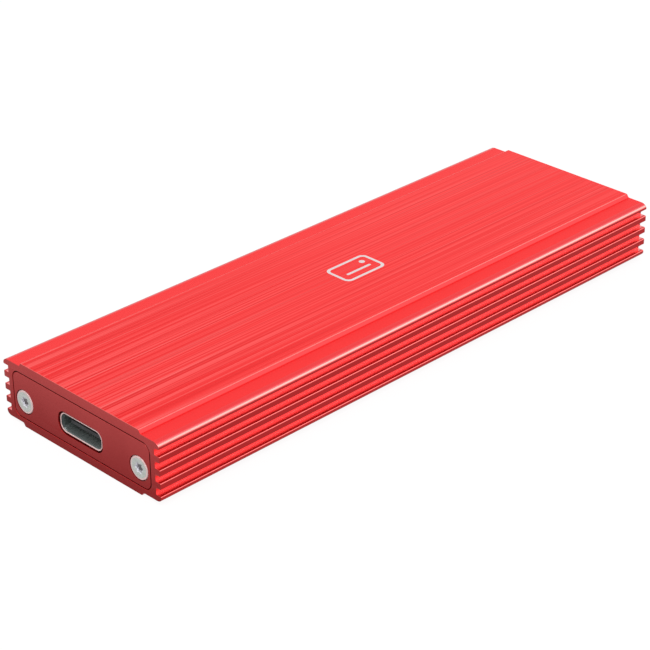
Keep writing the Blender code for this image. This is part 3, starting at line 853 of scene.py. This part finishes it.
def make_usb_shell():
    """The drawn shell: a thin flat rim round a flared mouth, and two legs into the board; a pink
    painted reflection on the steel, the inside painted dark as shade, darkest at the mouth, and its
    floor paler as painted light.
    """
    low, high, centre = box_of("usb_c_shell", "Y")
    width, height = high.x - low.x, high.z - low.z
    outside = rectangle(width, height, centre, USB_CORNER, 12)
    flared = rectangle(
        width - 2 * USB_RIM, height - 2 * USB_RIM, centre, USB_CORNER - USB_RIM, 12
    )
    inside = rectangle(*USB_OPENING, centre, USB_OPENING_CORNER, 12)
    pocket = [
        (low.y, inset(flared, -USB_LIP)),
        (low.y + USB_LIP, flared),
        (low.y + USB_FLARE_DEPTH, inside),
        (high.y - USB_BACK_WALL, inside),
    ]
    shape = Shape()
    faces = shape.solid(PORT_PAINTED_REFLECTION, rounded(outside, low.y, high.y, USB_LIP), pockets=[pocket])
    within, mouth, floor = [
        shape.finish_index(finish) for finish in (PORT_INSIDE_PAINTED_SHADE, PORT_MOUTH_PAINTED_SHADE, PORT_FLOOR_PAINTED_LIGHT)
    ]
    for face in faces:
        place = face.calc_center_median()
        inner = abs(place.x) < width / 2 - 0.9 * USB_RIM
        inner = inner and abs(place.z - centre[1]) < height / 2 - 0.9 * USB_RIM
        if inner and low.y + 0.5 * USB_LIP < place.y < high.y - 0.1 * MM:
            # painted shade inside and at the mouth, painted light on the floor
            shaded = within if place.y > low.y + USB_FLARE_DEPTH else mouth
            face.material_index = floor if face.normal.z > 0.5 else shaded
    foot = high.y - 2.2 * MM
    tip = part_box("bridge_board")[0].z - 0.2 * MM
    for side in (1, -1):
        leg = side * (high.x - 0.25 * MM)
        shape.bar(PORT_PAINTED_REFLECTION, leg, 0.2 * MM, (foot - 0.7 * MM, tip), (foot + 0.7 * MM, centre[1]))
    shape.stand_in("usb_c_shell", "port_steel")


def make_usb_insulator():
    """Insulator block and tongue, with twelve gold contacts on each side of the tongue."""
    low, high, centre = box_of("usb_c_insulator", "Y")
    root = high.y - 1.7 * MM
    corner = USB_OPENING_CORNER - 0.1 * MM
    block = rectangle(high.x - low.x, high.z - low.z, centre, corner, 8)
    shape = Shape()
    shape.solid(BLACK, rounded(block, root, high.y, 0.05 * MM))
    tongue = rectangle(*TONGUE, centre, 0.2 * MM, 4)
    step = rectangle(TONGUE[0], 1.1 * MM, centre, 0.2 * MM, 4)
    for loop, start, edge in ((tongue, low.y, 0.22 * MM), (step, root - 1.2 * MM, 0.1 * MM)):
        shape.solid(BLACK, rounded(loop, start, root + 0.1 * MM, edge, ends=(True, False)))
    start, end = low.y + 0.55 * MM, root - 1.1 * MM
    for x in spaced(PORT_CONTACTS, CONTACT_PITCH):
        for side in (1, -1):
            level = centre[1] + side * TONGUE[1] / 2
            ends = ((start, level - 0.03 * MM), (end, level + 0.03 * MM))
            shape.bar(GOLD, x, 0.13 * MM, *ends, 0.01 * MM)
    shape.made("usb_c_tongue_part", "drawer", "black_plastic", ["usb_c_insulator"])


# Boards


def make_bridge_board():
    """The board, with a plated ring round the standoff and plated pads along its edges."""
    low, high, centre = box_of("bridge_board")
    loop = rectangle(high.x - low.x, high.y - low.y, centre, 0.6 * MM, 6)
    shape = Shape()
    shape.solid(GREEN, rounded(loop, low.z, high.z, 0.03 * MM, steps=2), axis="Z")
    post_low, post_high, around = box_of("m2_standoff")
    radius = min(
        (post_high.x - post_low.x) / 2 + 0.35 * MM, high.y - around[1] - 0.1 * MM
    )
    shape.solid(GOLD, straight(circle(radius, around), high.z, high.z + 0.03 * MM), axis="Z")
    for y in (-20.0, 0.0, 20.0, 40.0):
        for side in (1, -1):
            pad = rectangle(1.1 * MM, 3.2 * MM, (side * 10.9 * MM, y * MM), 0.3 * MM, 4)
            shape.solid(GOLD, straight(pad, high.z - 0.01 * MM, high.z + 0.03 * MM), axis="Z")
    shape.stand_in("bridge_board", "bridge_board")


def module_outline():
    """The card's outline: edge connector with its key notch, and a half-round screw notch."""
    low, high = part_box("module_board")
    half = high.x
    tab = half - 1.1 * MM
    shoulder = low.y + 4.0 * MM
    key_left, key_right = 6.025 * MM, 7.225 * MM
    key_radius = 0.6 * MM
    key_end = low.y + 3.5 * MM - key_radius
    return [
        (-tab, low.y),
        (key_left, low.y),
        (key_left, key_end),
        *arc(((key_left + key_right) / 2, key_end), key_radius, 180, 0, 10)[1:-1],
        (key_right, key_end),
        (key_right, low.y),
        (tab, low.y),
        (tab, shoulder),
        (half, shoulder),
        (half, high.y),
        *arc((0.0, high.y), 1.75 * MM, 0, -180, 24),
        (-half, high.y),
        (-half, shoulder),
        (-tab, shoulder),
    ]


def make_module_board():
    """The card: gold edge contacts on both faces and a plated half ring at the screw notch."""
    low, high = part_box("module_board")
    shape = Shape()
    shape.solid(NIGHT, rounded(module_outline(), low.z, high.z, 0.02 * MM, steps=1), axis="Z")
    start = low.y + 0.25 * MM
    for x in spaced(CARD_CONTACTS, CONTACT_PITCH):
        if CARD_KEY[0] < x < CARD_KEY[1]:
            continue
        for level, length in ((high.z, 2.0 * MM), (low.z, 2.5 * MM)):
            ends = ((start, level - SKIN), (start + length, level + SKIN))
            shape.bar(GOLD, x, 0.17 * MM, *ends, 0.004 * MM)
    ring = [
        *arc((0.0, high.y), 2.75 * MM, 180, 360, 24),
        *arc((0.0, high.y), 1.78 * MM, 0, -180, 24),
    ]
    for level in (high.z, low.z):
        shape.solid(GOLD, straight(ring, level - SKIN, level + SKIN), axis="Z")
    shape.stand_in("module_board", "module_board")


# Components on the boards


def place_two_pole(shape, body_finish, centre, size, along_y=False):
    """A chip capacitor or resistor: a body between two tinned ends."""
    x, y, base = centre
    length, width, height = size
    cap, grow = 0.22 * length, 0.02 * width
    for finish, start, end, more in (
        (body_finish, -length / 2 + cap * 0.8, length / 2 - cap * 0.8, 0.0),
        (TIN, -length / 2, -length / 2 + cap, grow),
        (TIN, length / 2 - cap, length / 2, grow),
    ):
        side = width / 2 + more
        near, far = ((-side, start), (side, end)) if along_y else ((start, -side), (end, side))
        low = (x + near[0], y + near[1], base)
        shape.block(finish, low, (x + far[0], y + far[1], base + (height + more)), 0.05 * height)


def make_capacitor(node):
    low, high, centre = box_of(node)
    base = low.z - SOLDER_GAP
    size = [high.x - low.x, high.y - low.y]
    size_up = (max(size), min(size), high.z - base)
    shape = Shape()
    place_two_pole(shape, CERAMIC, (*centre, base), size_up, size[1] > size[0])
    shape.stand_in(node, "ceramic")


def corner_mark(shape, low, high):
    """The shallow moulded dot at a chip's first corner, as a fine ring."""
    centre = (low.x + 0.14 * (high.x - low.x), high.y - 0.14 * (high.y - low.y))
    radius = 0.045 * min(high.x - low.x, high.y - low.y) + 0.08 * MM
    outer, inner = [
        straight(circle(r, centre, 24), high.z - 0.01 * MM, high.z + 0.006 * MM)
        for r in (radius, 0.72 * radius)
    ]
    shape.solid(RESIN, outer, through=[inner], axis="Z")


def make_grid_package(node):
    """A ball-grid or no-lead package: resin body, thin substrate and joints round its edge."""
    low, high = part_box(node)
    base = low.z - SOLDER_GAP
    thick = high.z - low.z
    shape = Shape()
    shape.block(RESIN, (low.x, low.y, low.z + 0.22 * thick), high, 0.06 * MM)
    shape.block(FILM, low, (high.x, high.y, low.z + 0.25 * thick), 0.02 * MM)
    pitch, half = 0.8 * MM, 0.16 * MM
    for k, (near, far) in enumerate(((low.x, high.x), (low.y, high.y))):
        count = int((far - near - 0.6 * MM) / pitch)
        for place in spaced(count + 1, pitch):
            along = (near + far) / 2 + place
            for corner, way in ((low, 1), (high, -1)):
                side = corner[1 - k] + way * 0.3 * MM
                x, y = (along, side) if k == 0 else (side, along)
                ends = ((y - half, base), (y + half, low.z + 0.02 * MM))
                shape.bar(TIN, x, half, *ends, 0.02 * MM)
    corner_mark(shape, low, high)
    shape.stand_in(node, "chip_resin")


def make_leaded_package(node):
    """A chip with bent leads along two sides."""
    low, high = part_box(node)
    base = low.z - SOLDER_GAP
    reach, pitch, half, foot = 0.45 * MM, 0.95 * MM, 0.06 * MM, base + 0.1 * MM
    shape = Shape()
    start = (low.x + reach, low.y, low.z + 0.05 * MM)
    shape.block(RESIN, start, (high.x - reach, high.y, high.z), 0.08 * MM)
    count = max(3, int((high.y - low.y) / pitch))
    middle = (low.z + high.z) / 2
    for place in spaced(count, pitch):
        y = (low.y + high.y) / 2 + place
        for side, edge in ((-1, low.x), (1, high.x)):
            shoulder = edge - side * (reach + 0.05 * MM)
            knee = edge - side * 0.2 * MM
            profile = [
                (shoulder, middle + half),
                (knee, middle + half),
                (knee + side * half, foot),
                (edge, foot),
                (edge, base),
                (knee - side * 0.04 * MM, base),
                (knee - side * half, middle - half),
                (shoulder, middle - half),
            ]
            shape.solid(TIN, straight(profile, y - 0.18 * MM, y + 0.18 * MM))
    corner_mark(shape, low, high)
    shape.stand_in(node, "chip_resin")


def make_crystal():
    """A sealed can: a lid on a ceramic base."""
    low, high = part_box("crystal")
    rim, thick = 0.18 * MM, high.z - low.z
    start, end = (low.x, low.y, low.z - SOLDER_GAP), (high.x, high.y, low.z + 0.35 * thick)
    shape = Shape()
    shape.block(CERAMIC, start, end, 0.04 * MM)
    start = (low.x + rim, low.y + rim, low.z + 0.3 * thick)
    shape.block(CAN, start, (high.x - rim, high.y - rim, high.z), 0.06 * MM, 0.3 * MM)
    shape.stand_in("crystal", "crystal_can")


def make_inductor():
    """A moulded inductor: bevelled ferrite block with two folded terminals."""
    low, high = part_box("power_inductor")
    base = low.z - SOLDER_GAP
    shape = Shape()
    start, end = (low.x + 0.1 * MM, low.y, low.z), (high.x - 0.1 * MM, high.y, high.z)
    shape.block(FERRITE, start, end, 0.12 * MM, 0.45 * MM)
    for side, edge in ((-1, low.x), (1, high.x)):
        near, far = sorted((edge, edge - side * 0.75 * MM))
        start = (near, low.y + 1.0 * MM, base)
        shape.block(TIN, start, (far, high.y - 1.0 * MM, low.z + 0.5 * MM), 0.04 * MM)
    shape.stand_in("power_inductor", "ferrite")


def make_socket():
    """The card socket: body with a slot, spring contacts in it and solder tails behind it."""
    low, high, centre = box_of("m2_socket", "Y")
    card_low, card_high, card_centre = box_of("module_board", "Y")
    gap = 0.2 * MM
    slot = rectangle(20.0 * MM, card_high.z - card_low.z + 2 * gap, card_centre, 0.05 * MM, 2)
    floor = card_low.y - gap
    outside = rectangle(high.x - low.x, high.z - low.z, centre, 0.3 * MM, 5)
    pocket = rounded(slot, high.y, floor, -0.12 * MM, ends=(True, False))
    shape = Shape()
    shape.solid(BLACK, rounded(outside, high.y, low.y, 0.1 * MM), pockets=[pocket])
    base = low.z - SOLDER_GAP
    for x in spaced(SOCKET_CONTACTS, CONTACT_PITCH):
        for level in (card_high.z + 0.5 * gap, card_low.z - 0.5 * gap):
            start, end = floor + 0.3 * MM, high.y - 0.5 * MM
            ends = ((start, level - 0.05 * MM), (end, level + 0.05 * MM))
            shape.bar(GOLD, x, 0.1 * MM, *ends, 0.01 * MM)
        ends = ((low.y - 0.7 * MM, base), (low.y + 0.2 * MM, base + 0.15 * MM))
        shape.bar(TIN, x, 0.1 * MM, *ends, 0.02 * MM)
    for side in (1, -1):
        ends = ((high.y - 0.2 * MM, base), (high.y + 0.5 * MM, low.z + 0.12 * MM))
        shape.bar(TIN, side * (high.x - 0.7 * MM), 0.6 * MM, *ends, 0.03 * MM)
    shape.stand_in("m2_socket", "black_plastic")


def make_standoff():
    """A turned post with a flange; both reach down to the board."""
    low, high, centre = box_of("m2_standoff")
    flange = (high.x - low.x) / 2
    barrel = flange - 0.45 * MM
    step, foot = low.z + 0.5 * MM, low.z - 0.07 * MM
    bore = SCREW_RADIUS + SCREW_CLEARANCE
    wall = turned((
        (high.z, barrel - 0.12 * MM),
        (high.z - 0.12 * MM, barrel),
        (step + 0.08 * MM, barrel),
        (step, barrel + 0.08 * MM),
        (step, flange - 0.08 * MM),
        (step - 0.08 * MM, flange),
        (foot, flange),
    ), centre)
    hole = turned(((high.z, bore + 0.15 * MM), (high.z - 0.15 * MM, bore), (foot, bore)), centre)
    shape = Shape()
    shape.solid(BRASS, wall, through=[hole], axis="Z")
    shape.stand_in("m2_standoff", "brass")


def make_retaining_screw():
    """A pan-head screw with a six-lobe recess, which clamps the card on its standoff."""
    low, high, centre = box_of("m2_retaining_screw")
    radius = (high.x - low.x) / 2
    under = high.z - 0.7 * MM
    head = turned((
        (high.z, radius - 0.5 * MM),
        (high.z - 0.04 * MM, radius - 0.28 * MM),
        (high.z - 0.14 * MM, radius - 0.1 * MM),
        (high.z - 0.3 * MM, radius),
        (under + 0.05 * MM, radius),
        (under, radius - 0.05 * MM),
        (under, SCREW_RADIUS),
    ), centre, 32)
    thread = threaded(under - 0.05 * MM, low.z, centre, SCREW_RADIUS)
    recess = lobed((
        (high.z, 0.62 * MM, 0.12 * MM),
        (high.z - 0.04 * MM, 0.57 * MM, 0.12 * MM),
        (under + 0.2 * MM, 0.53 * MM, 0.11 * MM),
    ), centre)
    shape = Shape()
    shape.solid(SCREW, head + thread, pockets=[recess], axis="Z")
    shape.stand_in("m2_retaining_screw", "screw_steel", "retaining_screw")


def make_thermal_pad():
    """A soft slab whose faces dip and swell a little."""
    low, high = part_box("thermal_pad")
    width, length = high.x - low.x, high.y - low.y
    middle, half = (low.z + high.z) / 2, (high.z - low.z) / 2
    columns, rows = 28, 90
    shape = Shape()
    mesh = shape.mesh

    def corner(side, u, v):
        x, y = low.x + width * u, low.y + length * v
        near = min(u * width, (1 - u) * width, v * length, (1 - v) * length)
        edge = min(1.0, near / (1.1 * MM))
        fall = 1 - (1 - edge) ** 3 * 0.55
        ripple = 0.03 * MM * (sin(900 * x + 310 * y) + cos(560 * y - 700 * x)) - 0.06 * MM
        return mesh.verts.new((x, y, middle + side * (half * fall + ripple * edge)))

    rims = []
    for side in (1, -1):
        grid = [
            [corner(side, i / columns, j / rows) for i in range(columns + 1)]
            for j in range(rows + 1)
        ]
        for near, far in zip(grid, grid[1:]):
            for i in range(columns):
                mesh.faces.new((near[i], near[i + 1], far[i + 1], far[i]))
        rims.append(
            grid[0][:-1]
            + [line[-1] for line in grid[:-1]]
            + grid[-1][:0:-1]
            + [line[0] for line in grid[:0:-1]]
        )
    upper, lower = rims
    for i in range(len(upper)):
        mesh.faces.new((upper[i - 1], upper[i], lower[i], lower[i - 1]))
    bmesh.ops.recalc_face_normals(mesh, faces=mesh.faces)
    for face in mesh.faces:
        face.smooth = True
    shape.finish_index(PAD)
    shape.stand_in("thermal_pad", "silicone")


def scatter_small_parts(name, board, area, count, seed, keep_clear):
    """Chip capacitors and resistors strewn on a board's free ground; area and margin in mm."""
    dice = random.Random(seed)
    level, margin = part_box(board)[1].z, 0.35
    shape = Shape()
    taken = [(low.x, low.y, high.x, high.y) for low, high in map(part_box, keep_clear)]
    for _ in range(count):
        along_y = dice.random() < 0.5
        size = dice.choice(((1.0, 0.5, 0.5), (0.6, 0.3, 0.3), (1.6, 0.8, 0.7)))
        x = dice.uniform(area[0], area[2]) * MM
        y = dice.uniform(area[1], area[3]) * MM
        finish = dice.choice((CERAMIC, CERAMIC, FILM))
        across, along = (size[1], size[0]) if along_y else (size[0], size[1])
        reach, depth = (across / 2 + margin) * MM, (along / 2 + margin) * MM
        left, near, right, far = x - reach, y - depth, x + reach, y + depth
        if any(left < t[2] and right > t[0] and near < t[3] and far > t[1] for t in taken):
            continue
        taken.append((left, near, right, far))
        place_two_pole(shape, finish, (x, y, level), [side * MM for side in size], along_y)
    shape.made(name, "drawer", board)


def make_mark():
    """A plain pictogram of a drive, printed on the band: a rounded frame, a rule and a dot."""
    ink = silver_ink()
    centre = (0.0, 2.0 * MM)
    outside = rectangle(5.4 * MM, 8.6 * MM, centre, 1.1 * MM, 8)
    inside = rectangle(4.4 * MM, 7.6 * MM, centre, 0.7 * MM, 8)
    rule = rectangle(0.5 * MM, 5.2 * MM, (centre[0] + 0.7 * MM, centre[1]), 0.2 * MM, 4)
    dot = circle(0.5 * MM, (centre[0] - 0.9 * MM, centre[1] + 2.3 * MM), 24)
    shape = Shape()
    for loop, holes in ((outside, [inside]), (rule, []), (dot, [])):
        wall, *through = [
            straight(each, HEIGHT - 0.01 * MM, HEIGHT + SKIN) for each in (loop, *holes)
        ]
        shape.solid(ink, wall, through=through, axis="Z")
    shape.made("printed_mark", "case", "anodised_housing")


# The studio


def make_floor():
    shape = bmesh.new()
    bmesh.ops.create_grid(shape, x_segments=1, y_segments=1, size=3.0)
    data = bpy.data.meshes.new("studio_floor")
    shape.to_mesh(data)
    shape.free()
    data.materials.append(pale_floor())
    floor = added("studio_floor", data)
    floor.location.z = -0.02 * MM
    floor.visible_glossy = False


def direction(azimuth, elevation):
    """The way from the origin to a camera or light: azimuth 0 is at -Y, and 90 at +X."""
    a, e = radians(azimuth), radians(elevation)
    return Vector((sin(a) * cos(e), -cos(a) * cos(e), sin(e)))


def turn(obj, right, up, back):
    obj.rotation_mode = "QUATERNION"
    obj.rotation_quaternion = Matrix((right, up, back)).transposed().to_quaternion()


def light_card(name, azimuth, elevation, distance, size, power, up):
    """A rectangular light that faces the origin; the second of its sizes runs along up."""
    data = bpy.data.lights.new(name, "AREA")
    data.shape = "RECTANGLE"
    data.size, data.size_y = size
    data.energy = power
    card = added(name, data)
    back = direction(azimuth, elevation)
    across = Vector(up).cross(back).normalized()
    card.location = back * distance
    turn(card, across, back.cross(across), back)
    card.visible_camera = False
    return card


def make_sky():
    """A bright dome over a dimmer ground, which only reflections see; lighter towards +X."""
    world = bpy.data.worlds.new("studio")
    sky = Graph(world)
    way = sky.node("TexCoord", {}).outputs["Generated"]
    way = sky.node("SeparateXYZ", {"Vector": way}).outputs
    ground = sky.spread(way["X"], -0.65, 0.65, GROUND_LEFT, GROUND_RIGHT)
    blend = sky.node("Mix", {0: sky.spread(way["Z"], -0.16, -0.02), 2: ground, 3: DOME})
    background = sky.nodes["Background"]
    sky.links.new(blend.outputs[0], background.inputs["Strength"])
    background.inputs["Color"].default_value = (1.0, 1.0, 1.0, 1.0)
    bpy.context.scene.world = world


def make_lights():
    light_card("key_above", 45.0, 78.0, 0.9, (0.8, 0.8), 3.0, (0.0, 0.0, 1.0))
    arc_way = Vector((0.0, 1.0, 0.0)).cross(direction(*GLINT_PLACE))
    glint = light_card("edge_glint", *GLINT_PLACE, 0.8, GLINT_SIZE, GLINT_POWER, arc_way)
    glint.visible_diffuse = False


def make_camera():
    data = bpy.data.cameras.new("camera")
    data.sensor_width = 36.0
    data.lens = CAMERA_LENS_MM
    data.clip_start, data.clip_end = 0.01, 10.0
    camera = added("camera", data)
    back = direction(CAMERA_AZIMUTH, CAMERA_ELEVATION)
    level = Vector((0.0, 0.0, 1.0)).cross(back).normalized()
    up = back.cross(level)
    roll = radians(CAMERA_ROLL)
    right = level * cos(roll) + up * sin(roll)
    top = up * cos(roll) - level * sin(roll)
    camera.location = back * CAMERA_DISTANCE + right * CAMERA_RIGHT + top * CAMERA_UP
    turn(camera, right, top, back)
    bpy.context.scene.camera = camera


def main():
    make_camera()
    make_housing()
    make_end_plate("front_plate_part", "front_end_plate", "drawer", FRONT, 1, usb_cutout())
    make_end_plate("rear_plate_part", "rear_end_plate", "rear_cover", REAR, -1)
    for side, word in ((-1, "left"), (1, "right")):
        make_plate_screw("front", word, side, FRONT, 1)
        make_plate_screw("rear", word, side, REAR, -1)
    make_usb_shell()
    make_usb_insulator()
    make_bridge_board()
    make_module_board()
    make_socket()
    make_standoff()
    make_retaining_screw()
    make_thermal_pad()
    for node in ("bridge_chip", *MODULE_CHIPS):
        make_grid_package(node)
    for node in ("flash_chip", "voltage_regulator"):
        make_leaded_package(node)
    for i in range(4):
        make_capacitor(f"capacitor_{i + 1}")
    make_crystal()
    make_inductor()
    scatter_small_parts(
        "bridge_small_parts", "bridge_board", (-10.6, -50.5, 10.6, -39.2), 90, 5,
        ("usb_c_shell", "bridge_chip", "flash_chip", "crystal", "capacitor_1", "capacitor_2",
         "m2_socket"),
    )
    scatter_small_parts(
        "module_small_parts", "module_board", (-10.0, -28.6, 10.0, 43.0), 160, 9,
        (*MODULE_CHIPS, "m2_retaining_screw"),
    )
    make_mark()
    make_floor()
    make_sky()
    make_lights()
    bpy.context.scene.view_settings.view_transform = "Standard"


main()
